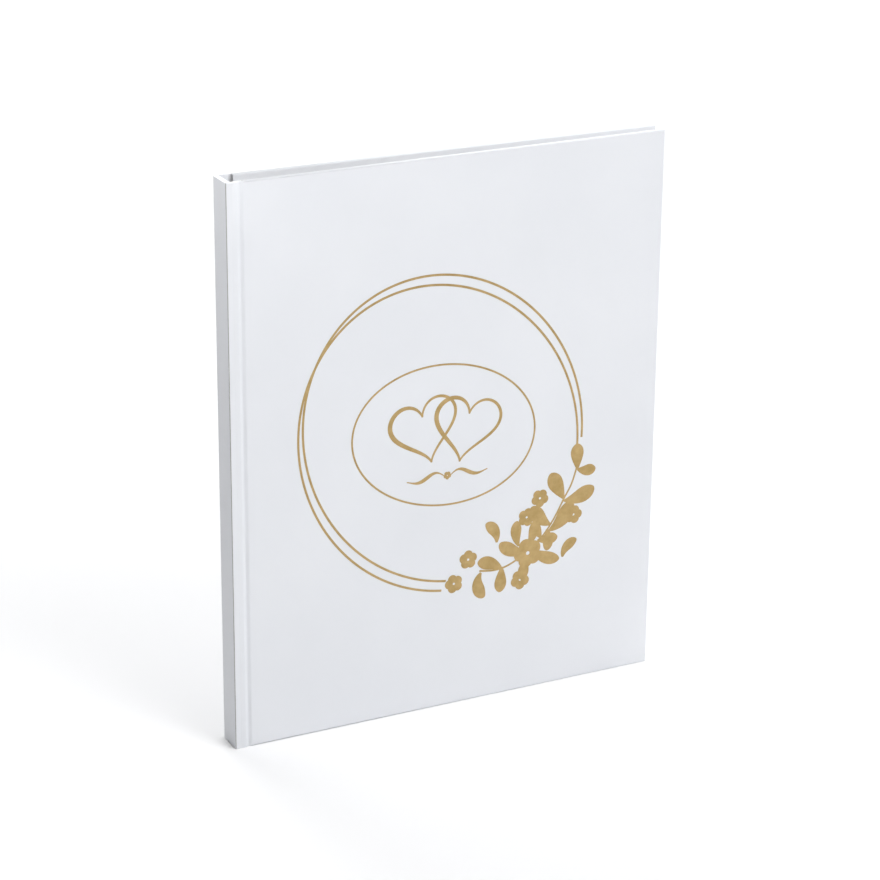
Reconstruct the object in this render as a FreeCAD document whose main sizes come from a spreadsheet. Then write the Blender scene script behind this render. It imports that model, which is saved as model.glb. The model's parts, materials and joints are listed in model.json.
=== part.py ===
import FreeCAD, Part
import math
import os

# A hardback guest book, standing on its tail with the front cover facing -Y.
# Millimetres. X runs from the spine (-) to the fore-edge (+), Z is the book's height.
# A cover, a flyleaf and a section are each drawn flat along local X, with local y = 0 on the
# cover's outer face or on the leaf's middle, and are then turned and moved into the book.

FRONT, BACK = -1, 1
SECTIONS = (-2, -1, 0, 1, 2)     # place of each folded section, from front to back
SHEETS = (1, 2, 3)               # folded sheets in a section, from the inside out
STATIONS = (0.12, 0.31, 0.5, 0.69, 0.88)   # sewing holes along the fold, as parts of its height

SIZES = (
    ("cover_height", "270"),
    ("cover_width", "220"),
    ("spine_thickness", "14.2"),
    ("board_thickness", "1.9"),
    ("wrap_thickness", "0.2"),
    ("paste_thickness", "0.11"),
    ("turn_in_width", "15"),
    ("square_width", "3"),
    ("edge_square", "4"),
    ("joint_width", "8.5"),
    ("hinge_offset", "4.8"),
    ("hinge_gap", "0.2"),
    ("groove_centre", "6.7"),
    ("groove_radius", "1.7"),
    ("groove_depth", "0.6"),
    ("fold_offset", "6.35"),
    ("flyleaf_offset", "5.8"),
    ("leaf_thickness", "0.12"),
    ("leaf_gap", "0.01"),
    ("fold_radius", "0.14"),
    ("thread_radius", "0.1"),
    ("hole_radius", "0.13"),
    ("page_clearance", "0.078"),
    ("root_clearance", "0.15"),
    ("lining_thickness", "0.25"),
    ("foil_thickness", "0.05"),
    ("ring_line", "1.1"),
    ("oval_line", "0.9"),
    # worked out from the sizes above
    ("spine_half", "=spine_thickness / 2"),
    ("cover_build", "=2 * wrap_thickness + board_thickness + paste_thickness"),
    ("section_half", "=fold_radius + 3 * leaf_thickness + 2 * leaf_gap"),
    ("edge_half", "=cover_build + leaf_thickness + 5 * section_half + 4 * page_clearance"),
    ("cover_rise", "=spine_half - edge_half"),
    ("cover_tilt", "=asin(cover_rise / (cover_width - hinge_offset))"),
    ("cover_length", "=(cover_width - hinge_offset) / cos(cover_tilt)"),
    ("page_height", "=cover_height - 2 * square_width"),
    ("leaf_length", "=cover_width - edge_square - fold_offset"),
    ("flyleaf_length", "=cover_width - edge_square - flyleaf_offset"),
    ("flyleaf_root", "=spine_half - cover_build - root_clearance - leaf_thickness / 2"),
    ("flyleaf_edge", "=5 * section_half + 3 * page_clearance + leaf_thickness / 2"),
    ("flyleaf_tilt", "=atan((flyleaf_root - flyleaf_edge) / flyleaf_length)"),
    ("root_pitch", "=(flyleaf_root - leaf_thickness / 2 - root_clearance - section_half) / 2"),
    ("edge_pitch", "=2 * section_half + page_clearance"),
    ("section_tilt", "=atan((root_pitch - edge_pitch) / leaf_length)"),
    ("groove_axis", "=groove_radius - groove_depth"),
)

doc = FreeCAD.newDocument("guest_book")
sheet = doc.addObject("Spreadsheet::Sheet", "sizes")
for row, (alias, value) in enumerate(SIZES, start=1):
    sheet.set("A%d" % row, alias)
    sheet.set("B%d" % row, value)
    sheet.setAlias("B%d" % row, alias)
doc.recompute()

NAMES = sorted((alias for alias, _ in SIZES), key=len, reverse=True)
EXPORTS = []
STARTS = {}                      # where each box begins in its own local frame


def bound(text):
    """An expression with each size's name pointing at the spreadsheet."""
    words, word = [], ""
    for char in str(text) + " ":
        if char.isalnum() or char == "_":
            word += char
            continue
        words.append("sizes." + word if word in NAMES else word)
        words.append(char)
        word = ""
    return "".join(words).strip()


def add(kind, name, **values):
    """A feature whose properties are bound to expressions."""
    item = doc.addObject(kind, name)
    for prop, text in values.items():
        item.setExpression(prop, bound(text))
    return item


def placed(x, y, z, axis, turn):
    """The expression for a placement: a shift and a turn about one axis."""
    return ("create(<<placement>>; create(<<vector>>; %s; %s; %s); " % (x, y, z)
            + "create(<<rotation>>; create(<<vector>>; %s); %s))" % (axis, turn))


def move(item, x="0", y="0", z="0", turn="0", upright=False):
    """Bind the placement: a shift, a turn about Z, and flat artwork stood up to face -Y."""
    text = placed(x, y, z, "0; 0; 1", turn)
    if item.Name in STARTS:
        text += " * " + placed(*STARTS[item.Name], "0; 0; 1", "0")
    if upright:
        text += " * " + placed("0", "0", "0", "1; 0; 0", "90")
    item.setExpression("Placement", bound(text))
    return item


def box(name, x, y, z):
    """A box from (start, end) pairs of expressions."""
    item = add("Part::Box", name, Length="(%s) - (%s)" % (x[1], x[0]),
               Width="(%s) - (%s)" % (y[1], y[0]), Height="(%s) - (%s)" % (z[1], z[0]))
    STARTS[item.Name] = (x[0], y[0], z[0])
    return move(item)


def inward(side, near, far):
    """The y pair of a layer that lies between two depths under a cover's outer face."""
    if side == FRONT:
        return (near, far)
    return ("-(%s)" % far, "-(%s)" % near)


def rod(name, radius, x, y, z, angle="360", turn="0"):
    """A cylinder along Z between a pair of heights."""
    item = add("Part::Cylinder", name, Radius=radius, Height="(%s) - (%s)" % (z[1], z[0]), Angle=angle)
    return move(item, x, y, z[0], turn)


def cut(name, base, tool):
    item = doc.addObject("Part::Cut", name)
    item.Base, item.Tool = base, tool
    return item


def common(name, first, second):
    item = doc.addObject("Part::Common", name)
    item.Base, item.Tool = first, second
    return item


def fuse(name, shapes):
    item = doc.addObject("Part::MultiFuse", name)
    item.Shapes = shapes
    item.Refine = True
    return item


def export(item, node):
    item.Label = node
    EXPORTS.append((item, node))
    return item


# ---------------------------------------------------------------- covers
FULL = ("0", "cover_height")
CLEAR = ("-1", "cover_height + 1")
INSET = ("turn_in_width", "cover_height - turn_in_width")
ENDS = {"tail": ("0", "turn_in_width"), "head": ("cover_height - turn_in_width", "cover_height")}
BOARD_START = "joint_width - hinge_offset"


def on_cover(item, side, node, upright=False):
    """Put a cover's part in the book: the cover leans in from the spine to the fore-edge."""
    sign = "-" if side == FRONT else ""
    lean = "cover_tilt" if side == FRONT else "-cover_tilt"
    move(item, "hinge_offset - cover_width / 2", sign + "spine_half", "0", lean, upright)
    return export(item, node)


def build_cover(side, word):
    """A board in its paper wrap, with turn-ins on three edges, and the paper pasted inside."""
    board_face = "wrap_thickness + board_thickness"
    turn_in_face = board_face + " + wrap_thickness"

    def board_box(name):
        return box(word + name, (BOARD_START, "cover_length - wrap_thickness"),
                   inward(side, "wrap_thickness", board_face),
                   ("wrap_thickness", "cover_height - wrap_thickness"))

    on_cover(board_box("_board_solid"), side, word + "_board")

    def wrap_solid(name):
        outer = box(word + name + "_outer", (BOARD_START, "cover_length"),
                    inward(side, "0", turn_in_face), FULL)
        core = board_box(name + "_core")
        window = box(word + name + "_window", (BOARD_START + " - 1", "cover_length - turn_in_width"),
                     inward(side, board_face, turn_in_face + " + 1"), INSET)
        return cut(word + name, cut(word + name + "_shell", outer, core), window)

    on_cover(wrap_solid("_wrap_solid"), side, word + "_cover_wrap")

    # the pasted-down leaf lies on the turn-ins at its edges and on the board inside them
    paste = ("square_width", "cover_height - square_width")
    layer = box(word + "_paste_layer", (BOARD_START, "cover_length - square_width"),
                inward(side, board_face, turn_in_face + " + paste_thickness"), paste)
    sunk = box(word + "_paste_sunk", (BOARD_START + " - 1",
                                      "cover_length - turn_in_width - paste_thickness"),
               inward(side, board_face + " + paste_thickness", turn_in_face + " + 1"),
               ("turn_in_width + paste_thickness", "cover_height - turn_in_width - paste_thickness"))
    leaf = cut(word + "_paste_leaf", layer, wrap_solid("_paste_wrap"))
    on_cover(cut(word + "_paste_solid", leaf, sunk), side, word + "_pastedown")

    # the wrap over the joint: a thin strip pressed into a shallow round groove
    axis = "-groove_axis" if side == FRONT else "groove_axis"
    centre = "groove_centre - hinge_offset"

    def strip(name, layers, z):
        skin = "wrap_thickness * %d" % layers
        plate = box(word + name + "_plate", ("hinge_gap", BOARD_START), inward(side, "0", skin), z)
        slab = box(word + name + "_slab", ("hinge_gap", BOARD_START),
                   inward(side, "0", "groove_depth + 2 * " + skin), z)
        bulge = common(word + name + "_bulge", slab,
                       rod(word + name + "_round", "groove_radius + " + skin, centre, axis, z))
        return fuse(word + name, [plate, bulge])

    strips = [strip("_strip", 1, FULL)]
    strips += [strip("_strip_" + end, 2, z) for end, z in sorted(ENDS.items())]
    groove = rod(word + "_groove", "groove_radius", centre, axis, CLEAR)
    joint = cut(word + "_joint_solid", fuse(word + "_joint_strips", strips), groove)
    on_cover(joint, side, word + "_joint_wrap")


build_cover(FRONT, "front")
build_cover(BACK, "back")

# ---------------------------------------------------------------- spine
SPINE = "-cover_width / 2"


def spine_span(inset):
    return ("-spine_half + " + inset, "spine_half - " + inset)


def spine_board(name):
    return box(name, (SPINE + " + wrap_thickness", SPINE + " + wrap_thickness + board_thickness"),
               spine_span("wrap_thickness"), ("wrap_thickness", "cover_height - wrap_thickness"))


export(spine_board("spine_board_solid"), "spine_board")

wrap_end = SPINE + " + hinge_offset - hinge_gap"
spine_shell = box("spine_shell", (SPINE, wrap_end), spine_span("0"), FULL)
spine_hollow = box("spine_hollow", (SPINE + " + 2 * wrap_thickness + board_thickness", "0"),
                   spine_span("2 * wrap_thickness"), CLEAR)
spine_window = box("spine_window", (SPINE + " + wrap_thickness + board_thickness", "0"),
                   spine_span("wrap_thickness"), INSET)
spine_tools = fuse("spine_tools", [spine_board("spine_core"), spine_hollow, spine_window])
export(cut("spine_wrap_solid", spine_shell, spine_tools), "spine_wrap")

# a cloth lining across the backs of the folded sections
PAGES = ("square_width", "cover_height - square_width")
lining_face = SPINE + " + fold_offset - section_half - root_clearance"
export(box("lining_solid", (lining_face + " - lining_thickness", lining_face),
           ("-2 * root_pitch - section_half", "2 * root_pitch + section_half"), PAGES), "spine_lining")

# ---------------------------------------------------------------- pages
def in_book(item, place, node):
    move(item, SPINE + " + fold_offset", "%d * root_pitch" % place, "0", "%d * -section_tilt" % place)
    return export(item, node)


def station_height(part):
    return "square_width + page_height * %g" % part


def thread_stub(name, radius, length, part):
    """A short rod out through the fold, toward the spine."""
    item = add("Part::Cylinder", name, Radius=radius, Height=length)
    item.setExpression("Placement", bound(placed("0", "0", station_height(part), "0; 1; 0", "-90")))
    return item


def build_section(number, place):
    name = "section_%d" % number
    for layer in SHEETS:
        tag = "%s_sheet_%d" % (name, layer)
        inner = "fold_radius + %d * (leaf_thickness + leaf_gap)" % (layer - 1)
        outer = inner + " + leaf_thickness"
        across = ("0", "leaf_length")
        fold = cut(tag + "_fold", rod(tag + "_round", outer, "0", "0", PAGES, "180", "90"),
                   rod(tag + "_bore", inner, "0", "0", CLEAR))
        leaves = [box(tag + "_near", across, ("-(%s)" % outer, "-(%s)" % inner), PAGES),
                  box(tag + "_far", across, (inner, outer), PAGES)]
        holes = fuse(tag + "_holes", [thread_stub("%s_hole_%d" % (tag, i), "hole_radius",
                                                  "section_half * 2", part)
                                      for i, part in enumerate(STATIONS, start=1)])
        folded = cut(tag + "_solid", fuse(tag + "_body", leaves + [fold]), holes)
        in_book(folded, place, "sheet_%d_%d" % (number, layer))
    run = rod(name + "_run", "thread_radius", "0", "0",
              (station_height(STATIONS[0]) + " - thread_radius",
               station_height(STATIONS[-1]) + " + thread_radius"))
    stubs = [thread_stub("%s_stub_%d" % (name, i), "thread_radius", "section_half", part)
             for i, part in enumerate(STATIONS, start=1)]
    in_book(fuse(name + "_thread", [run] + stubs), place, "thread_%d" % number)


for number, place in enumerate(SECTIONS, start=1):
    build_section(number, place)

for side, word in ((FRONT, "front"), (BACK, "back")):
    flyleaf = box(word + "_flyleaf_solid", ("0", "flyleaf_length"),
                  ("-leaf_thickness / 2", "leaf_thickness / 2"), PAGES)
    sign, lean = ("-", "flyleaf_tilt") if side == FRONT else ("", "-flyleaf_tilt")
    move(flyleaf, SPINE + " + flyleaf_offset", sign + "flyleaf_root", "0", lean)
    export(flyleaf, word + "_flyleaf")

# ---------------------------------------------------------------- gold foil on the front
# Drawn flat: x along the cover from the spine's outer face, y up the cover.
RING_MAJOR, RING_MINOR, RING_TURN = 79.3, 68.6, -55.0
RING_CENTRES = ((107.6, 139.6), (105.3, 135.1))
GAP_CENTRE = (106.4, 137.4)      # the rings are open between two headings from this point
GAP_SPAN = (-89.5, -11.5)
OVAL = (107.0, 137.6, 47.6, 34.3, -9.2)
LEAF_BLADE = 0.82                # part of a leaf's length, the rest is stalk
LEAF_STALK = 0.9
LEAF_FOOT = 0.3                  # how far a stalk runs past its foot into the stem
PETALS = 5
PETAL_REACH = 0.6                # middle of each petal, as a part of the flower's radius
FLOWER_HEART = 0.54              # radii of a flower's heart and its open eye, as parts of its own
FLOWER_EYE = 0.13
FLOWER_TURN = 18                 # each flower is turned this much further than the one before


def ellipse_plate(name, x, y, major, minor, turn):
    curve = doc.addObject("Part::Ellipse", name + "_curve")
    curve.setExpression("MajorRadius", bound(major))
    curve.setExpression("MinorRadius", bound(minor))
    face = doc.addObject("Part::Face", name + "_face")
    face.Sources = [curve]
    face.FaceMakerClass = "Part::FaceMakerBullseye"
    plate = doc.addObject("Part::Extrusion", name)
    plate.Base, plate.DirMode, plate.Dir, plate.Solid = face, "Custom", FreeCAD.Vector(0, 0, 1), True
    plate.setExpression("LengthFwd", bound("foil_thickness"))
    move(plate, "%g - hinge_offset" % x, "%g" % y, "0", "%g" % turn)
    return plate


def ellipse_ring(name, x, y, major, minor, turn, line):
    outer = ellipse_plate(name + "_outer", x, y, "%g + %s / 2" % (major, line),
                          "%g + %s / 2" % (minor, line), turn)
    inner = ellipse_plate(name + "_inner", x, y, "%g - %s / 2" % (major, line),
                          "%g - %s / 2" % (minor, line), turn)
    return cut(name, outer, inner)


def disc(name, x, y, radius, angle="360", turn="0"):
    item = add("Part::Cylinder", name, Radius=radius, Height="foil_thickness", Angle=angle)
    return move(item, "%g - hinge_offset" % x, "%g" % y, "0", turn)


def bar(name, start, end, width):
    """A flat bar from one point to another."""
    turn = math.atan2(end[1] - start[1], end[0] - start[0])
    item = add("Part::Box", name, Length="%g" % math.dist(start, end), Width=width,
               Height="foil_thickness")
    x = "%g + %s * %g - hinge_offset" % (start[0], width, math.sin(turn) / 2)
    y = "%g - %s * %g" % (start[1], width, math.cos(turn) / 2)
    return move(item, x, y, "0", "%g" % math.degrees(turn))


def leaf(name, x, y, length, width, heading):
    """A round-ended leaf on a short stalk, from the leaf's foot."""
    c, s = math.cos(math.radians(heading)), math.sin(math.radians(heading))
    blade = length * LEAF_BLADE
    middle = length - blade / 2
    plate = ellipse_plate(name + "_blade", x + middle * c, y + middle * s, "%g" % (blade / 2),
                          "%g" % (width / 2), heading)
    foot, tip = (x - LEAF_FOOT * c, y - LEAF_FOOT * s), (x + middle * c, y + middle * s)
    return fuse(name, [plate, bar(name + "_stalk", foot, tip, "%g" % LEAF_STALK)])


def flower(name, x, y, radius, turn):
    """Five round petals about a heart, open at its eye."""
    reach, petal = radius * PETAL_REACH, radius * (1 - PETAL_REACH)
    shapes = [disc(name + "_heart", x, y, "%g" % (radius * FLOWER_HEART))]
    for i in range(PETALS):
        a = math.radians(turn + 360 / PETALS * i)
        shapes.append(disc("%s_petal_%d" % (name, i), x + reach * math.cos(a), y + reach * math.sin(a),
                           "%g" % petal))
    return cut(name, fuse(name + "_petals", shapes), disc(name + "_eye", x, y, "%g" % (radius * FLOWER_EYE)))


def foil(item, node):
    return on_cover(item, FRONT, node, upright=True)


# two rings, open where the spray of flowers lies
rings = fuse("rings", [ellipse_ring("ring_%d" % i, x, y, RING_MAJOR, RING_MINOR, RING_TURN, "ring_line")
                       for i, (x, y) in enumerate(RING_CENTRES, start=1)])
wedge = disc("gap_wedge", *GAP_CENTRE, "cover_width", "%g" % (GAP_SPAN[1] - GAP_SPAN[0]), "%g" % GAP_SPAN[0])
foil(cut("rings_open", rings, wedge), "foil_rings")

foil(ellipse_ring("oval", *OVAL, "oval_line"), "foil_oval")

# two linked hearts over a flourish
HEARTS = ((96.5, 138.7, 20.0, 12.0), (118.5, 136.7, 20.0, -12.0))      # middle, side of its square, lean
HEART_LINE = 1.6
FLOURISH = (108.5, 117.5)
FLOURISH_SPAN = (3.0, 20.0)
FLOURISH_LINE = 1.2
FLOURISH_FLOWER = 2.2


def heart_plate(name, x, y, side, lean):
    """A heart: a square on its corner with a disc on the middle of each upper side."""
    def edge(heading):
        a = math.radians(heading + lean)
        return x + side / 2 * math.cos(a), y + side / 2 * math.sin(a)

    square = bar(name + "_square", edge(-45), edge(135), "%g" % side)
    lobes = [disc("%s_lobe_%d" % (name, heading), *edge(heading), "%g" % (side / 2)) for heading in (45, 135)]
    return fuse(name, [square] + lobes)


ornament = []
for i, (x, y, side, lean) in enumerate(HEARTS, start=1):
    name = "heart_%d" % i
    ornament.append(cut(name, heart_plate(name + "_outer", x, y, side, lean),
                        heart_plate(name + "_inner", x, y, side - 2 * HEART_LINE, lean)))
for i, way in enumerate((-1, 1), start=1):
    near, far = [(FLOURISH[0] + way * reach, FLOURISH[1]) for reach in FLOURISH_SPAN]
    ornament.append(bar("flourish_%d" % i, near, far, "%g" % FLOURISH_LINE))
ornament.append(flower("flourish_flower", *FLOURISH, FLOURISH_FLOWER, turn=90))
foil(fuse("ornament", ornament), "foil_hearts")

# the spray: leaves on two stems that run along the rings from the largest flower
STEM_LINE = 0.9
STEMS = (((153, 72), (160, 78), (166, 86), (171, 95), (175, 102), (178, 111)),
         ((150, 70), (141, 66), (134, 65), (126, 66)))
LEAVES = (       # foot, length, width, heading
    (178, 109, 13, 6.6, 92), (178, 109, 10, 5.4, -15), (171, 95, 16, 7.6, 118), (171, 94, 17, 7.6, 6),
    (164, 83, 15, 7.2, 143), (163, 80, 18, 8.0, 34), (162, 81, 11, 5.0, -80), (152, 74, 13, 5.0, 66),
    (151, 71, 16, 6.4, 163), (154, 72, 17, 6.0, -36), (151, 69, 12, 5.5, -100), (147, 75, 13, 5.4, 104),
    (138, 66, 13, 6.0, -94), (138, 65, 14, 6.4, 148), (127, 65, 13, 6.0, -106), (135, 79, 12, 5.4, 100),
    (171, 65, 11, 5.0, 66), (159, 77, 10, 5.0, 118), (157, 76, 11, 5.4, 0),
)
FLOWERS = ((152, 70.5, 7.5), (158, 97.5, 4.6), (151, 89, 4.6), (120, 73, 4.7), (112.5, 62, 4.7),
           (148, 57.5, 5.0), (176.5, 86, 4.6))                         # middle, radius
FLOWER_GAP = 0.3                 # bare cover round each flower

pieces = []
for i, stem in enumerate(STEMS, start=1):
    for j, (start, end) in enumerate(zip(stem, stem[1:]), start=1):
        name = "stem_%d_%d" % (i, j)
        pieces += [bar(name, start, end, "%g" % STEM_LINE), disc(name + "_end", *end, "%g" % (STEM_LINE / 2))]
pieces += [leaf("leaf_%d" % i, *shape) for i, shape in enumerate(LEAVES, start=1)]
flowers, gaps = [], []
for i, (x, y, radius) in enumerate(FLOWERS, start=1):
    flowers.append(flower("flower_%d" % i, x, y, radius, FLOWER_TURN * i))
    gaps.append(disc("gap_%d" % i, x, y, "%g" % (radius + FLOWER_GAP)))
foil(cut("spray_cut", fuse("spray", pieces), fuse("gaps", gaps)), "foil_spray")
foil(fuse("flowers", flowers), "foil_flowers")

# ---------------------------------------------------------------- check and export
doc.recompute()
faults = [item.Name for item in doc.Objects
          if "Invalid" in item.State or "Error" in item.State
          or (hasattr(item, "Shape") and not item.Shape.isNull() and not item.Shape.isValid())]
if faults:
    raise RuntimeError("features that did not build: " + ", ".join(faults))
for item, node in EXPORTS:
    if item.Shape.isNull() or item.Shape.Volume <= 0 or not item.Shape.Solids:
        raise RuntimeError("no solid in " + node)
os.makedirs("parts", exist_ok=True)
for item, node in EXPORTS:
    item.Shape.exportStep(os.path.join("parts", node + ".step"))
    print("%-20s solids %d  volume %.1f mm3" % (node, len(item.Shape.Solids), item.Shape.Volume))
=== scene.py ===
import json
import math

import bpy
from mathutils import Matrix, Vector


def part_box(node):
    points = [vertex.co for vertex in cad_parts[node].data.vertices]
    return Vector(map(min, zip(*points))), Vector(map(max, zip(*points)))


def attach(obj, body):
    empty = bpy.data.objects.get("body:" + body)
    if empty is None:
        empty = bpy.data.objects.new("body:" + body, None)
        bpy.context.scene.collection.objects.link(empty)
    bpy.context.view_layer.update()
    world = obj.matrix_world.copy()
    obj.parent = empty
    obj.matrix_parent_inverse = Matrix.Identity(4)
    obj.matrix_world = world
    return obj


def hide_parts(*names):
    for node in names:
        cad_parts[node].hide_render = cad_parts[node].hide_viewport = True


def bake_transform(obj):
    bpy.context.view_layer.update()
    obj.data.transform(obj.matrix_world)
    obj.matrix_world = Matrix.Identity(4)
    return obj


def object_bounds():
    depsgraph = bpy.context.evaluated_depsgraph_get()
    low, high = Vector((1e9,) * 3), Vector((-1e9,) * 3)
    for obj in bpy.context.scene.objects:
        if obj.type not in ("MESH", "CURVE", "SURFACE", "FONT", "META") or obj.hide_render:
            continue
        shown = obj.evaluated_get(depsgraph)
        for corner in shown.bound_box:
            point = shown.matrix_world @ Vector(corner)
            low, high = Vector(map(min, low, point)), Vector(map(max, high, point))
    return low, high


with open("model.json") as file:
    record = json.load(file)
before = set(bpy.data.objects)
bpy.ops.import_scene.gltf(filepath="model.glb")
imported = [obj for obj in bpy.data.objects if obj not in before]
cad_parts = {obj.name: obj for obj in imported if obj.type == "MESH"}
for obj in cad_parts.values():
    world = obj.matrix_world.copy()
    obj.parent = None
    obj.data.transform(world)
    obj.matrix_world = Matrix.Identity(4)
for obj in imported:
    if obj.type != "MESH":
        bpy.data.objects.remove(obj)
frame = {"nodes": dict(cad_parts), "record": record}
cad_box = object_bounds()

# A hardback guest book standing on its tail. Metres, in the frame's own axes: X from the spine
# to the fore-edge, Z up, and the front cover faces -Y.

MM = 0.001
EDGE_RADIUS = 0.6 * MM           # paper pulled round the boards' edges
SPINE_RADIUS = 1.0 * MM          # and round the two long edges of the spine
CORNER_RADIUS = 0.65 * MM        # the covers' corners, seen from the front
SHARP = 0.01 * MM                # the least radius that a corner's inner rows keep
TURN_IN = 15.0 * MM              # paper folded over on to the inside of a board
WRAP = 0.2 * MM
SKIN = 2 * WRAP                  # the paper is doubled beside and over the joints
GROOVE_CENTRE = 6.7 * MM         # from the spine's outer face
GROOVE_REACH = 1.7 * MM
GROOVE_DEPTH = 0.6 * MM
GROOVE_STEPS = 48
SHOULDER_END = 3.0 * MM          # where the spine's solid paper hands over to the bending joint
SPINE_CORE = 1.2 * MM            # the folds at head and tail draw in towards this depth
HINGE = 4.8 * MM
HEAD_RADIUS = 0.25 * MM          # the fold of the paper at head and tail
HEAD_ANGLES = (0, 30, 60, 90)
HEAD_TUCK = 0.3                  # the inner side of that fold turns out by this part of the outer
BANDS = 12                       # rows of quads between head and tail
HINGE_TURN = 0.5 * MM            # the endpaper turns this close to the flyleaf's root
HINGE_BACK = 0.15 * MM           # and starts this far behind it, clear of the turning flyleaf
HINGE_PAPER = 0.11 * MM
HINGE_GAP = 0.03 * MM
SPINE_X = cad_box[0].x
HEIGHT = cad_box[1].z
HALF_SPINE = cad_box[1].y


# ---------------------------------------------------------------- meshes
def mesh_object(name, points, faces, material, smooth=True):
    mesh = bpy.data.meshes.new(name)
    mesh.from_pydata([tuple(p) for p in points], [], faces)
    mesh.validate()
    for face in mesh.polygons:
        face.use_smooth = smooth
    mesh.materials.append(material)
    made = bpy.data.objects.new(name, mesh)
    bpy.context.scene.collection.objects.link(made)
    return made


def quads_between(first, second, count, closed=False):
    """Quads from one row of points to the next, given each row's first index."""
    span = count if closed else count - 1
    return [(first + i, first + (i + 1) % count, second + (i + 1) % count, second + i) for i in range(span)]


def arc(cx, cy, radius, start, end, steps=5):
    for i in range(steps + 1):
        a = math.radians(start + (end - start) * i / steps)
        yield cx + radius * math.cos(a), cy + radius * math.sin(a)


# ---------------------------------------------------------------- materials
class Nodes:
    """A material's node tree with short calls for the nodes that this scene uses."""

    def __init__(self, name, **sockets):
        self.material = bpy.data.materials.new(name)
        self.material.use_nodes = True
        self.tree = self.material.node_tree
        self.shader = self.tree.nodes["Principled BSDF"]
        for socket, value in sockets.items():
            self.shader.inputs[socket.replace("_", " ")].default_value = value
        self.place = self.tree.nodes.new("ShaderNodeTexCoord").outputs["Object"]

    def node(self, kind, **inputs):
        made = self.tree.nodes.new("ShaderNode" + kind)
        for name, value in inputs.items():
            self.feed(made.inputs[name.replace("_", " ")], value)
        return made

    def feed(self, socket, value):
        if isinstance(value, bpy.types.NodeSocket):
            self.tree.links.new(value, socket)
        else:
            socket.default_value = value

    def stretched(self, x, y, z):
        mapping = self.node("Mapping", Vector=self.place)
        mapping.inputs["Scale"].default_value = (x, y, z)
        return mapping.outputs["Vector"]

    def noise(self, scale, detail=3.0, vector=None):
        made = self.node("TexNoise", Vector=vector or self.place, Scale=scale, Detail=detail)
        return made.outputs["Fac"]

    def remap(self, value, low, high):
        """A noise's usual spread, 0.3 to 0.7, carried to another range."""
        made = self.node("MapRange", Value=value)
        for name, number in (("From Min", 0.3), ("From Max", 0.7), ("To Min", low), ("To Max", high)):
            made.inputs[name].default_value = number
        return made.outputs["Result"]

    def colours(self, value, *stops):
        ramp = self.tree.nodes.new("ShaderNodeValToRGB")
        self.tree.links.new(value, ramp.inputs["Fac"])
        marks = ramp.color_ramp.elements
        while len(marks) < len(stops):
            marks.new(0.5)
        for mark, (place, colour) in zip(marks, stops):
            mark.position = place
            mark.color = (*colour, 1.0)
        return ramp.outputs["Color"]

    def maths(self, operation, first, second):
        made = self.tree.nodes.new("ShaderNodeMath")
        made.operation = operation
        self.feed(made.inputs[0], first)
        self.feed(made.inputs[1], second)
        return made.outputs["Value"]

    def base(self, colour):
        self.feed(self.shader.inputs["Base Color"], colour)

    def rough(self, value):
        self.feed(self.shader.inputs["Roughness"], value)

    def bump(self, height, distance, strength):
        made = self.node("Bump", Height=height, Strength=strength, Distance=distance)
        self.feed(self.shader.inputs["Normal"], made.outputs["Normal"])
        return self.material


def cover_paper():
    """White matt-laminated paper: faint mottling, a fine tooth, and the board's gentle unevenness."""
    m = Nodes("cover_paper", Roughness=0.5, Specular_IOR_Level=0.42, Coat_Weight=0.08, Coat_Roughness=0.35)
    cloudy = m.noise(14.0, 4.0)
    m.base(m.colours(cloudy, (0.3, (0.80, 0.815, 0.85)), (0.7, (0.835, 0.848, 0.88))))
    m.rough(m.remap(m.noise(420.0, 2.0), 0.44, 0.56))
    grain = m.noise(2600.0, 2.0)
    board = m.noise(55.0, 2.0)
    return m.bump(m.maths("ADD", m.maths("MULTIPLY", grain, 0.12), board), 0.00012, 0.35)


def gold_foil():
    """Satin gold foil with slightly broken coverage of tone."""
    m = Nodes("gold_foil", Metallic=0.9, Roughness=0.42)
    tone = m.noise(260.0, 4.0)
    m.base(m.colours(tone, (0.3, (0.43, 0.30, 0.12)), (0.7, (0.54, 0.385, 0.18))))
    m.rough(m.remap(m.noise(900.0, 2.0), 0.36, 0.5))
    return m.bump(m.noise(1800.0, 3.0), 0.00003, 0.4)


def page_paper(name, dark, light):
    """Uncoated writing paper with a soft fibre texture."""
    m = Nodes(name, Roughness=0.85, Specular_IOR_Level=0.25)
    fibre = m.noise(900.0, 5.0, m.stretched(1.0, 1.0, 0.35))
    m.base(m.colours(fibre, (0.3, dark), (0.7, light)))
    return m.bump(fibre, 0.00004, 0.5)


def greyboard():
    m = Nodes("greyboard", Roughness=0.95, Specular_IOR_Level=0.2)
    fleck = m.noise(700.0, 6.0)
    m.base(m.colours(fleck, (0.35, (0.24, 0.225, 0.20)), (0.65, (0.36, 0.34, 0.31))))
    return m.bump(fleck, 0.0001, 0.6)


def woven(name, scale, dark, light):
    """Plain weave: two crossing sets of threads."""
    m = Nodes(name, Roughness=0.9, Specular_IOR_Level=0.2)
    warp = m.node("TexWave", Vector=m.stretched(1.0, 1.0, 0.0), Scale=scale, Distortion=0.4)
    weft = m.node("TexWave", Vector=m.stretched(0.0, 0.0, 1.0), Scale=scale, Distortion=0.4)
    weft.bands_direction = "Z"
    weave = m.maths("MULTIPLY", warp.outputs["Fac"], weft.outputs["Fac"])
    m.base(m.colours(weave, (0.0, dark), (0.6, light)))
    return m.bump(weave, 0.0001, 0.7)


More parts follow.
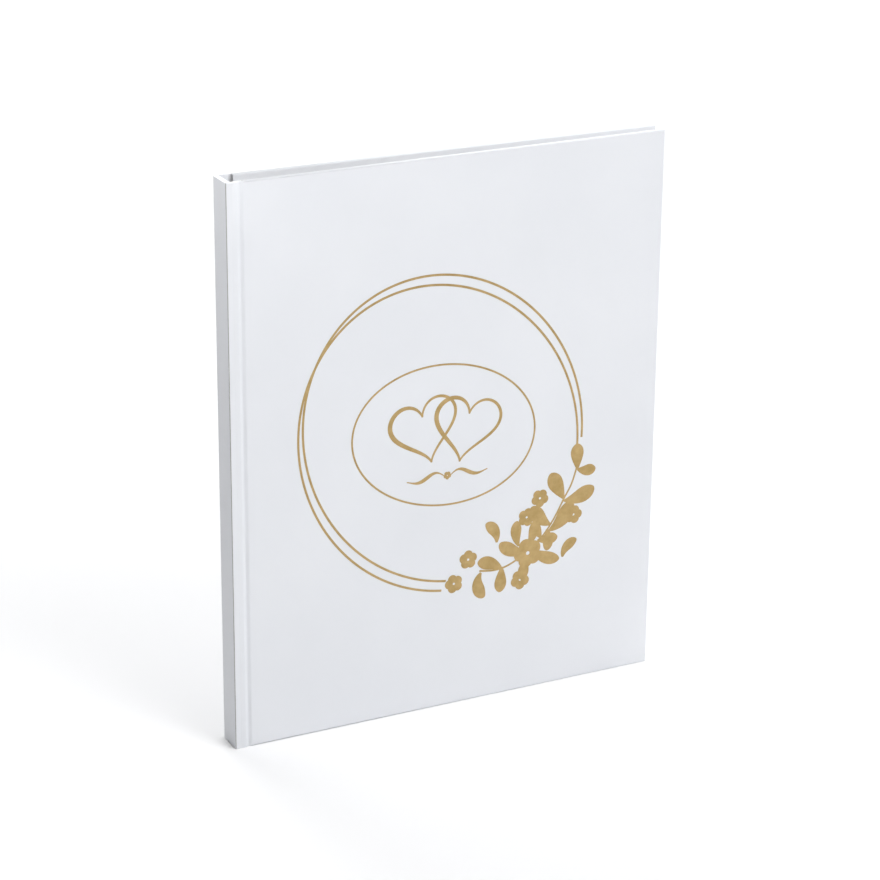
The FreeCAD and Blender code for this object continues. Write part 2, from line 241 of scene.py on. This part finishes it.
MATERIALS = {
    "cover_paper": cover_paper(),
    "gold_foil": gold_foil(),
    "page_paper": page_paper("page_paper", (0.85, 0.845, 0.83), (0.91, 0.905, 0.89)),
    "endpaper": page_paper("endpaper", (0.84, 0.84, 0.835), (0.90, 0.90, 0.895)),
    "greyboard": greyboard(),
    "thread": woven("thread", 900.0, (0.55, 0.54, 0.50), (0.80, 0.79, 0.75)),
    "lining_cloth": woven("lining_cloth", 500.0, (0.42, 0.41, 0.38), (0.70, 0.69, 0.65)),
}


def finish_cad_nodes():
    """Every CAD node takes the material of its slot in the record."""
    for part in frame["record"]["subparts"]:
        node = frame["nodes"][part["node"]]
        node.data.materials.clear()
        node.data.materials.append(MATERIALS[part["material_slot"]])


# ---------------------------------------------------------------- covers
class Cover:
    """Where a cover lies: along it from the board's joint edge, out of its face, and up."""

    def __init__(self, word, side):
        self.word, self.body, self.side = word, word + "_cover", side
        points = [v.co.copy() for v in frame["nodes"][word + "_cover_wrap"].data.vertices]
        near = max(points, key=lambda p: (round(side * p.y, 6), -p.z))
        far = max(points, key=lambda p: (round(p.x, 6), -p.z))
        along = (far - near).normalized()
        out = Vector((along.y, -along.x, 0.0)) * -side
        self.length = (far - near).length
        self.depth = max((near - p).dot(out) for p in points)
        self.place = Matrix.Translation(near) @ Matrix((along, out, (0, 0, 1))).transposed().to_4x4()

    def at(self, x, depth, z):
        return self.place @ Vector((x, -depth, z))


COVERS = {"front": Cover("front", -1), "back": Cover("back", 1)}


def wrap_profile(cover):
    """(inset from the edge, depth under the face) pairs, from the outer face round to the turn-in."""
    r = EDGE_RADIUS
    rows = [(r - x, r - y) for x, y in arc(0, 0, r, 90, 0, 6)]
    rows += [(r - x, cover.depth - r + y) for x, y in arc(0, 0, r, 0, 90, 6)]
    return rows + [(TURN_IN, cover.depth), (TURN_IN, cover.depth - WRAP)]


def edge_row(cover, inset, depth):
    """One line round the three free edges of a cover, with rounded corners."""
    c, r = max(CORNER_RADIUS, inset), max(CORNER_RADIUS - inset, SHARP)
    rows = [(0.0, HEIGHT - inset)]
    rows += arc(cover.length - c, HEIGHT - c, r, 90, 0)
    rows += arc(cover.length - c, c, r, 0, -90)
    rows += [(0.0, inset)]
    return [cover.at(x, depth, z) for x, z in rows]


def cover_wrap(cover):
    rows = [edge_row(cover, inset, depth) for inset, depth in wrap_profile(cover)]
    count = len(rows[0])
    points = [p for row in rows for p in row]
    faces = [tuple(range(count))]
    for i in range(len(rows) - 1):
        faces += quads_between(i * count, (i + 1) * count, count)
    joint_edge = [i * count for i in range(len(rows))]
    joint_edge += [i * count + count - 1 for i in reversed(range(len(rows)))]
    faces.append(tuple(joint_edge))
    made = mesh_object(cover.word + "_wrap", points, faces, MATERIALS["cover_paper"])
    for face in (made.data.polygons[0], made.data.polygons[len(faces) - 1]):
        face.use_smooth = False
    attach(made, cover.body)
    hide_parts(cover.word + "_cover_wrap")


# ---------------------------------------------------------------- spine and joints
def height_rows():
    """(height, how far the skin draws in) pairs: the paper folds over at head and tail."""
    r = HEAD_RADIUS
    tail = [(r - r * math.cos(math.radians(a)), r - r * math.sin(math.radians(a))) for a in HEAD_ANGLES]
    middle = [(HEIGHT * i / BANDS, 0.0) for i in range(1, BANDS)]
    return tail + middle + [(HEIGHT - z, inset) for z, inset in reversed(tail)]


def spine_wrap():
    """The solid spine strip with its shoulders, drawn as a section and carried up the book."""
    r, half = SPINE_RADIUS, HALF_SPINE
    end = SPINE_X + SHOULDER_END
    inner_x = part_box("spine_board")[1].x + WRAP
    outer = [(end, -half)] + list(arc(SPINE_X + r, -half + r, r, 270, 180))
    outer += list(arc(SPINE_X + r, half - r, r, 180, 90)) + [(end, half)]
    inner = [(end, half - SKIN), (inner_x, half - SKIN), (inner_x, -half + SKIN), (end, -half + SKIN)]
    count = len(outer) + len(inner)
    points = []
    for z, inset in height_rows():
        for x, y in outer:
            core = Vector((max(x, SPINE_X + SPINE_CORE), max(min(y, half - r), r - half)))
            x, y = Vector((x, y)) - (Vector((x, y)) - core).normalized() * inset
            points.append((x, y, z))
        points += [(x, y, z) for x, y in inner]
    rows = len(height_rows())
    faces = [f for i in range(rows - 1) for f in quads_between(i * count, (i + 1) * count, count, True)]
    faces += [tuple(reversed(range(count))), tuple((rows - 1) * count + i for i in range(count))]
    made = mesh_object("spine_wrap_skin", points, faces, MATERIALS["cover_paper"], smooth=False)
    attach(made, "spine_block")
    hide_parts("spine_wrap")


def joint_skin(cover):
    """The paper over a joint, pressed into its groove; it bends as the cover opens."""
    start = SPINE_X + SHOULDER_END
    hinge = SPINE_X + HINGE
    finish = cover.at(0, 0, 0)
    line = []
    for i in range(GROOVE_STEPS + 1):
        x = start + (finish.x - start) * i / GROOVE_STEPS
        reach = (x - SPINE_X - GROOVE_CENTRE) / GROOVE_REACH
        dip = GROOVE_DEPTH * (0.5 + 0.5 * math.cos(math.pi * reach)) if abs(reach) < 1 else 0.0
        lean = max(0.0, x - hinge) / (finish.x - hinge) * (HALF_SPINE - abs(finish.y))
        line.append((x, HALF_SPINE - lean - dip))
    rows = height_rows()
    points = []
    for thick, tuck in ((0.0, 1.0), (SKIN, -HEAD_TUCK)):
        for z, inset in rows:
            points += [(x, cover.side * (y - thick - inset * tuck), z) for x, y in line]
    count, layer = len(line), len(line) * len(rows)
    faces = []
    for i in range(len(rows) - 1):
        faces += quads_between(i * count, (i + 1) * count, count)
        faces += quads_between(layer + (i + 1) * count, layer + i * count, count)
        for side in (0, count - 1):
            a, b = i * count + side, (i + 1) * count + side
            faces.append((a, b, layer + b, layer + a))
    for row in (0, len(rows) - 1):
        faces += quads_between(row * count, layer + row * count, count)
    made = mesh_object(cover.word + "_joint_skin", points, faces, MATERIALS["cover_paper"])
    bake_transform(made)
    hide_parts(cover.word + "_joint_wrap")


def endpaper_hinge(cover):
    """The endpaper where it crosses the inside of a joint, from the pasted-down leaf to the flyleaf."""
    word, side = cover.word, cover.side
    pasted = [cover.place.inverted() @ v.co for v in frame["nodes"][word + "_pastedown"].data.vertices]
    depth = -min(p.y for p in pasted)
    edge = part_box(word + "_flyleaf")
    root_x, root_y = edge[0].x, side * max(side * edge[0].y, side * edge[1].y)
    low, high = edge[0].z, edge[1].z
    rows = []
    for x in (root_x - HINGE_BACK, root_x + HINGE_TURN):
        rows.append([(x, root_y + side * gap, z) for gap in (HINGE_GAP, HINGE_GAP + HINGE_PAPER)
                     for z in (low, high)])
    rows.append([cover.at(0, depth - gap, z) for gap in (0, HINGE_PAPER) for z in (low, high)])
    points = [p for row in rows for p in row]
    faces = []
    for i in range(len(rows) - 1):
        a, b = 4 * i, 4 * i + 4
        faces += [(a, b, b + 1, a + 1), (a + 2, a + 3, b + 3, b + 2), (a, a + 2, b + 2, b),
                  (a + 1, b + 1, b + 3, a + 3)]
    faces += [(0, 1, 3, 2), (8, 10, 11, 9)]
    made = mesh_object(word + "_endpaper_hinge", points, faces, MATERIALS["endpaper"], smooth=False)
    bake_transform(made)


# ---------------------------------------------------------------- gold foil
FOIL = 0.05 * MM
FOIL_LAYER = 0.002 * MM          # each shape lies this much over the one before, where they cross
RING_MAJOR, RING_MINOR, RING_TURN = 79.3, 68.6, -55.0
RING_CENTRES = ((107.6, 139.6), (105.3, 135.1))
RING_SPAN = (-11.5, 270.5)       # the gap between the ends holds the spray
RING_LINE = 1.1
OVAL = (107.0, 137.6, 47.6, 34.3, -9.2)
OVAL_LINE = 0.9
LEAF_STEPS = 32
LEAF_STALK = 0.9
LEAF_TIP = 0.02                  # the blunt width that a leaf's outline never goes below
LEAF_SWELL, LEAF_ROUND = 1.7, 0.55     # a leaf is widest past its middle, and round rather than pointed
PETALS = 5
PETAL_STEPS = 16
PETAL_DIP, PETAL_ROUND = 0.2, 0.8      # how far the outline dips between petals, and how round they are
FLOWER_EYE = 0.13
FLOWER_TURN = 18                 # each flower is turned this much further than the one before


class Artwork:
    """Flat foil shapes, drawn in millimetres from the spine's outer face and the tail."""

    def __init__(self, name, node):
        self.name, self.node, self.points, self.faces, self.height = name, node, [], [], FOIL

    def add(self, outline_pairs):
        """A strip between two edges: pairs of points across it, raised as foil."""
        cover = COVERS["front"]
        start = len(self.points)
        shift = (cover.place.translation.x - SPINE_X) / MM
        for pair in outline_pairs:
            for height in (self.height, 0.0):
                for x, y in pair:
                    self.points.append(cover.place @ Vector(((x - shift) * MM, height, y * MM)))
        for i in range(len(outline_pairs) - 1):
            a = start + 4 * i
            b = a + 4
            self.faces += [(a, a + 1, b + 1, b), (a, b, b + 2, a + 2), (a + 1, a + 3, b + 3, b + 1)]
        last = start + 4 * (len(outline_pairs) - 1)
        self.faces += [(start, start + 2, start + 3, start + 1), (last, last + 1, last + 3, last + 2)]
        self.height += FOIL_LAYER

    def stroke(self, path, width):
        """A line of foil along a path; width is a function of the way along, from 0 to 1."""
        closed = math.dist(path[0], path[-1]) < 0.01
        last = len(path) - 1
        pairs = []
        for i, (x, y) in enumerate(path):
            before = path[i - 1] if i > 0 else path[last - 1 if closed else 0]
            after = path[i + 1] if i < last else path[1 if closed else last]
            dx, dy = after[0] - before[0], after[1] - before[1]
            half = width(i / last) / 2 / math.hypot(dx, dy)
            pairs.append(((x - dy * half, y + dx * half), (x + dy * half, y - dx * half)))
        self.add(pairs)

    def leaf(self, x, y, length, width, heading, bend=0.0):
        """A leaf from its foot: a narrow stalk that swells to a round end."""
        path, widths = [], []
        for i in range(LEAF_STEPS + 1):
            t = math.sin(math.pi / 2 * i / LEAF_STEPS)
            a = math.radians(heading + bend * (t - 0.5))
            path.append((x + length * t * math.cos(a), y + length * t * math.sin(a)))
            blade = max(0.0, math.sin(math.pi * t ** LEAF_SWELL)) ** LEAF_ROUND
            widths.append(LEAF_STALK * (1.0 - t) + width * blade + LEAF_TIP)
        self.stroke(path, lambda t: widths[round(t * LEAF_STEPS)])

    def flower(self, x, y, radius, turn):
        """Round petals side by side about an open eye."""
        pairs = []
        steps = PETALS * PETAL_STEPS
        eye = radius * FLOWER_EYE
        for i in range(steps + 1):
            a = 2 * math.pi * i / steps
            edge = radius * (1 - PETAL_DIP + PETAL_DIP * abs(math.sin(PETALS * a / 2)) ** PETAL_ROUND)
            c, s = math.cos(a + math.radians(turn)), math.sin(a + math.radians(turn))
            pairs.append(((x + edge * c, y + edge * s), (x + eye * c, y + eye * s)))
        self.add(pairs)

    def finish(self):
        made = mesh_object(self.name, self.points, self.faces, MATERIALS["gold_foil"], smooth=False)
        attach(made, "front_cover")
        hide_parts(self.node)


def ellipse(x, y, major, minor, turn, start=0.0, end=360.0, steps=240):
    """Points of an ellipse between two headings seen from its centre."""
    c, s = math.cos(math.radians(turn)), math.sin(math.radians(turn))
    path = []
    for i in range(steps + 1):
        heading = math.radians(start + (end - start) * i / steps - turn)
        radius = major * minor / math.hypot(minor * math.cos(heading), major * math.sin(heading))
        u, v = radius * math.cos(heading), radius * math.sin(heading)
        path.append((x + u * c - v * s, y + u * s + v * c))
    return path


def rings():
    art = Artwork("foil_ring_lines", "foil_rings")
    for x, y in RING_CENTRES:
        art.stroke(ellipse(x, y, RING_MAJOR, RING_MINOR, RING_TURN, *RING_SPAN), lambda t: RING_LINE)
    art.finish()


def oval():
    art = Artwork("foil_oval_line", "foil_oval")
    art.stroke(ellipse(*OVAL), lambda t: OVAL_LINE)
    art.finish()


HEARTS = ((96.5, 143.0, 34.0, 12.0), (118.5, 141.0, 34.0, -12.0))      # middle, width, lean
HEART_STEPS = 60
HEART_HAIRLINE = 0.8                           # the pen's least width
HEART_SWELL = {-1: 1.5, 1: 0.7}                # and how much more it draws at its widest, on each side
FLOURISH = (108.5, 117.5, 21.0)                # middle of the line under the hearts, and its reach
FLOURISH_STEPS = 40
FLOURISH_GAP = 0.08                            # the part of its reach that is left for the flower
FLOURISH_WAVE = 2.6
FLOURISH_FADE = 2 / 3                          # the part of the wave that is lost by its end
FLOURISH_HAIRLINE, FLOURISH_SWELL = 0.5, 1.4
FLOURISH_FLOWER = 2.0


def half_heart(x, y, size, lean, side):
    """One side of a heart, from the dip between its lobes round to its point."""
    c, s = math.cos(math.radians(lean)), math.sin(math.radians(lean))
    path = []
    for i in range(HEART_STEPS + 1):
        t = math.pi * i / HEART_STEPS
        u = side * 16 * math.sin(t) ** 3
        v = 13 * math.cos(t) - 5 * math.cos(2 * t) - 2 * math.cos(3 * t) - math.cos(4 * t)
        path.append((x + size * (u * c - v * s) / 32, y + size * (u * s + v * c) / 32))
    return path


def half_flourish(side):
    """A wave from beside the flower outwards, which fades as it goes."""
    x, y, reach = FLOURISH
    path = []
    for i in range(FLOURISH_STEPS + 1):
        t = i / FLOURISH_STEPS
        wave = FLOURISH_WAVE * math.sin(math.tau * t) * (1 - t * FLOURISH_FADE)
        path.append((x + side * reach * (FLOURISH_GAP + (1 - FLOURISH_GAP) * t), y + wave))
    return path


def hearts():
    """Two linked hearts over a flourish, drawn with a broad pen's swelling line."""
    art = Artwork("foil_heart_lines", "foil_hearts")
    for heart in HEARTS:
        for side, swell in HEART_SWELL.items():
            art.stroke(half_heart(*heart, side),
                       lambda t: HEART_HAIRLINE + swell * math.sin(math.pi * t) ** 1.5)
    for side in (-1, 1):
        art.stroke(half_flourish(side),
                   lambda t: FLOURISH_HAIRLINE + FLOURISH_SWELL * math.sin(math.pi * t) ** 2)
    art.flower(*FLOURISH[:2], FLOURISH_FLOWER, FLOWER_TURN)
    art.finish()


# the spray, from the foot of each leaf: x, y, length, width, heading, bend
STEM_LINE = 0.9
STEMS = (((153, 72), (160, 78), (166, 86), (171, 95), (175, 102), (178, 111)),
         ((150, 70), (141, 66), (134, 65), (126, 66)))
LEAVES = (
    (178, 109, 13, 6.6, 92, 0), (178, 109, 10, 5.4, -15, 20),
    (171, 95, 16, 7.6, 118, 0), (171, 94, 17, 7.6, 6, 20),
    (164, 83, 15, 7.2, 143, -20), (163, 80, 18, 8.0, 34, 30), (162, 81, 11, 5.0, -80, -20),
    (152, 74, 13, 5.0, 66, 20), (151, 71, 16, 6.4, 163, -20), (154, 72, 17, 6.0, -36, 20),
    (151, 69, 12, 5.5, -100, 0), (147, 75, 13, 5.4, 104, -20),
    (138, 66, 13, 6.0, -94, 0), (138, 65, 14, 6.4, 148, 20), (127, 65, 13, 6.0, -106, 50),
    (135, 79, 12, 5.4, 100, 40), (171, 65, 11, 5.0, 66, -40),
    (159, 77, 10, 5.0, 118, 0), (157, 76, 11, 5.4, 0, 0),
)
BLOSSOM = (152, 70.5, 7.5)
FLOWERS = (BLOSSOM, (158, 97.5, 4.6), (151, 89, 4.6), (120, 73, 4.7), (112.5, 62, 4.7), (148, 57.5, 5.0),
           (176.5, 86, 4.6))


def smooth_line(corners, steps=10):
    """A curve through a stem's points."""
    ends = [corners[0]] + list(corners) + [corners[-1]]
    path = []
    for a, b, c, d in zip(ends, ends[1:], ends[2:], ends[3:]):
        for i in range(steps):
            t = i / steps
            path.append(tuple(0.5 * (2 * q + (r - p) * t + (2 * p - 5 * q + 4 * r - s) * t * t
                                     + (3 * q - p - 3 * r + s) * t ** 3)
                              for p, q, r, s in zip(a, b, c, d)))
    return path + [corners[-1]]


def spray():
    art = Artwork("foil_leaves_and_stems", "foil_spray")
    for stem in STEMS:
        art.stroke(smooth_line(stem), lambda t: STEM_LINE)
    for leaf in LEAVES:
        art.leaf(*leaf)
    art.finish()
    blooms = Artwork("foil_blossoms", "foil_flowers")
    blooms.height += FOIL_LAYER * (len(STEMS) + len(LEAVES))
    for i, (x, y, radius) in enumerate(FLOWERS):
        blooms.flower(x, y, radius, FLOWER_TURN * i)
    blooms.finish()


# ---------------------------------------------------------------- stage
CAMERA_AZIMUTH, CAMERA_ELEVATION, CAMERA_ROLL = -26.77, 20.55, 0.53
CAMERA_DISTANCE = 1.306
CAMERA_TARGET = Vector((-0.0023, 0.0, 0.133))
CAMERA_LENS = 115.3
FLOOR_HALF = 12.0
SKY_STRENGTH = 0.96
SKY_DARK, SKY_FULL = -0.2, 0.5   # how far towards +X the sky starts to glow, and where it is at its full

# name, place, width, power, target
LIGHTS = (
    ("key", (0.28, -0.72, 0.95), 0.6, 4.1, (0, 0, 0.13)),
    ("top", (0.0, -0.6, 3.2), 2.6, 33.0, (0, -0.2, 0)),
    ("back_wash", (0.4, 2.4, 2.2), 2.0, 48.0, (0.4, 2.0, 0)),
    ("spine_kick", (-0.25, -0.06, 0.43), 0.1, 0.25, (-0.11, 0, 0.25)),
)


def camera():
    a, e = math.radians(CAMERA_AZIMUTH), math.radians(CAMERA_ELEVATION)
    back = Vector((math.sin(a) * math.cos(e), -math.cos(a) * math.cos(e), math.sin(e)))
    data = bpy.data.cameras.new("camera")
    data.lens = CAMERA_LENS
    data.clip_start, data.clip_end = 0.05, 100.0
    made = bpy.data.objects.new("camera", data)
    turn = (-back).to_track_quat("-Z", "Y").to_matrix() @ Matrix.Rotation(math.radians(CAMERA_ROLL), 3, "Z")
    made.matrix_world = Matrix.Translation(CAMERA_TARGET + back * CAMERA_DISTANCE) @ turn.to_4x4()
    bpy.context.scene.collection.objects.link(made)
    bpy.context.scene.camera = made


def floor():
    m = Nodes("floor", Roughness=0.9, Specular_IOR_Level=0.1)
    m.base(m.colours(m.noise(2.0, 2.0), (0.3, (0.96, 0.96, 0.965)), (0.7, (0.975, 0.975, 0.98))))
    corners = [(x * FLOOR_HALF, y * FLOOR_HALF, 0) for x, y in ((-1, -1), (1, -1), (1, 1), (-1, 1))]
    made = mesh_object("floor", corners, [(0, 1, 2, 3)], m.material)


def area_light(name, place, size, power, target):
    data = bpy.data.lights.new(name, "AREA")
    data.shape, data.size, data.energy = "DISK", size, power
    made = bpy.data.objects.new(name, data)
    made.location = place
    made.rotation_mode = "QUATERNION"
    made.rotation_quaternion = (Vector(target) - Vector(place)).to_track_quat("-Z", "Y")
    made.visible_camera = False
    bpy.context.scene.collection.objects.link(made)


def studio_world():
    """Soft light from the book's right, almost none from its spine's side, and a clean white ground."""
    world = bpy.data.worlds.new("studio")
    world.use_nodes = True
    tree = world.node_tree
    direction = tree.nodes.new("ShaderNodeSeparateXYZ")
    tree.links.new(tree.nodes.new("ShaderNodeTexCoord").outputs["Generated"], direction.inputs["Vector"])
    fall = tree.nodes.new("ShaderNodeMapRange")
    limits = (("From Min", SKY_DARK), ("From Max", SKY_FULL), ("To Min", 0.0), ("To Max", SKY_STRENGTH))
    for name, number in limits:
        fall.inputs[name].default_value = number
    tree.links.new(direction.outputs["X"], fall.inputs["Value"])
    soft = tree.nodes["Background"]
    soft.inputs["Color"].default_value = (0.98, 0.99, 1.0, 1.0)
    tree.links.new(fall.outputs["Result"], soft.inputs["Strength"])
    clean = tree.nodes.new("ShaderNodeBackground")
    clean.inputs["Color"].default_value = (1.0, 1.0, 1.0, 1.0)
    rays = tree.nodes.new("ShaderNodeLightPath")
    mix = tree.nodes.new("ShaderNodeMixShader")
    tree.links.new(rays.outputs["Is Camera Ray"], mix.inputs["Fac"])
    tree.links.new(soft.outputs["Background"], mix.inputs[1])
    tree.links.new(clean.outputs["Background"], mix.inputs[2])
    tree.links.new(mix.outputs["Shader"], tree.nodes["World Output"].inputs["Surface"])
    bpy.context.scene.world = world


def light():
    studio_world()
    for row in LIGHTS:
        area_light(*row)
    bpy.context.scene.view_settings.view_transform = "Standard"


finish_cad_nodes()
for side in COVERS.values():
    cover_wrap(side)
    joint_skin(side)
    endpaper_hinge(side)
spine_wrap()
rings()
oval()
hearts()
spray()
floor()
light()
camera()
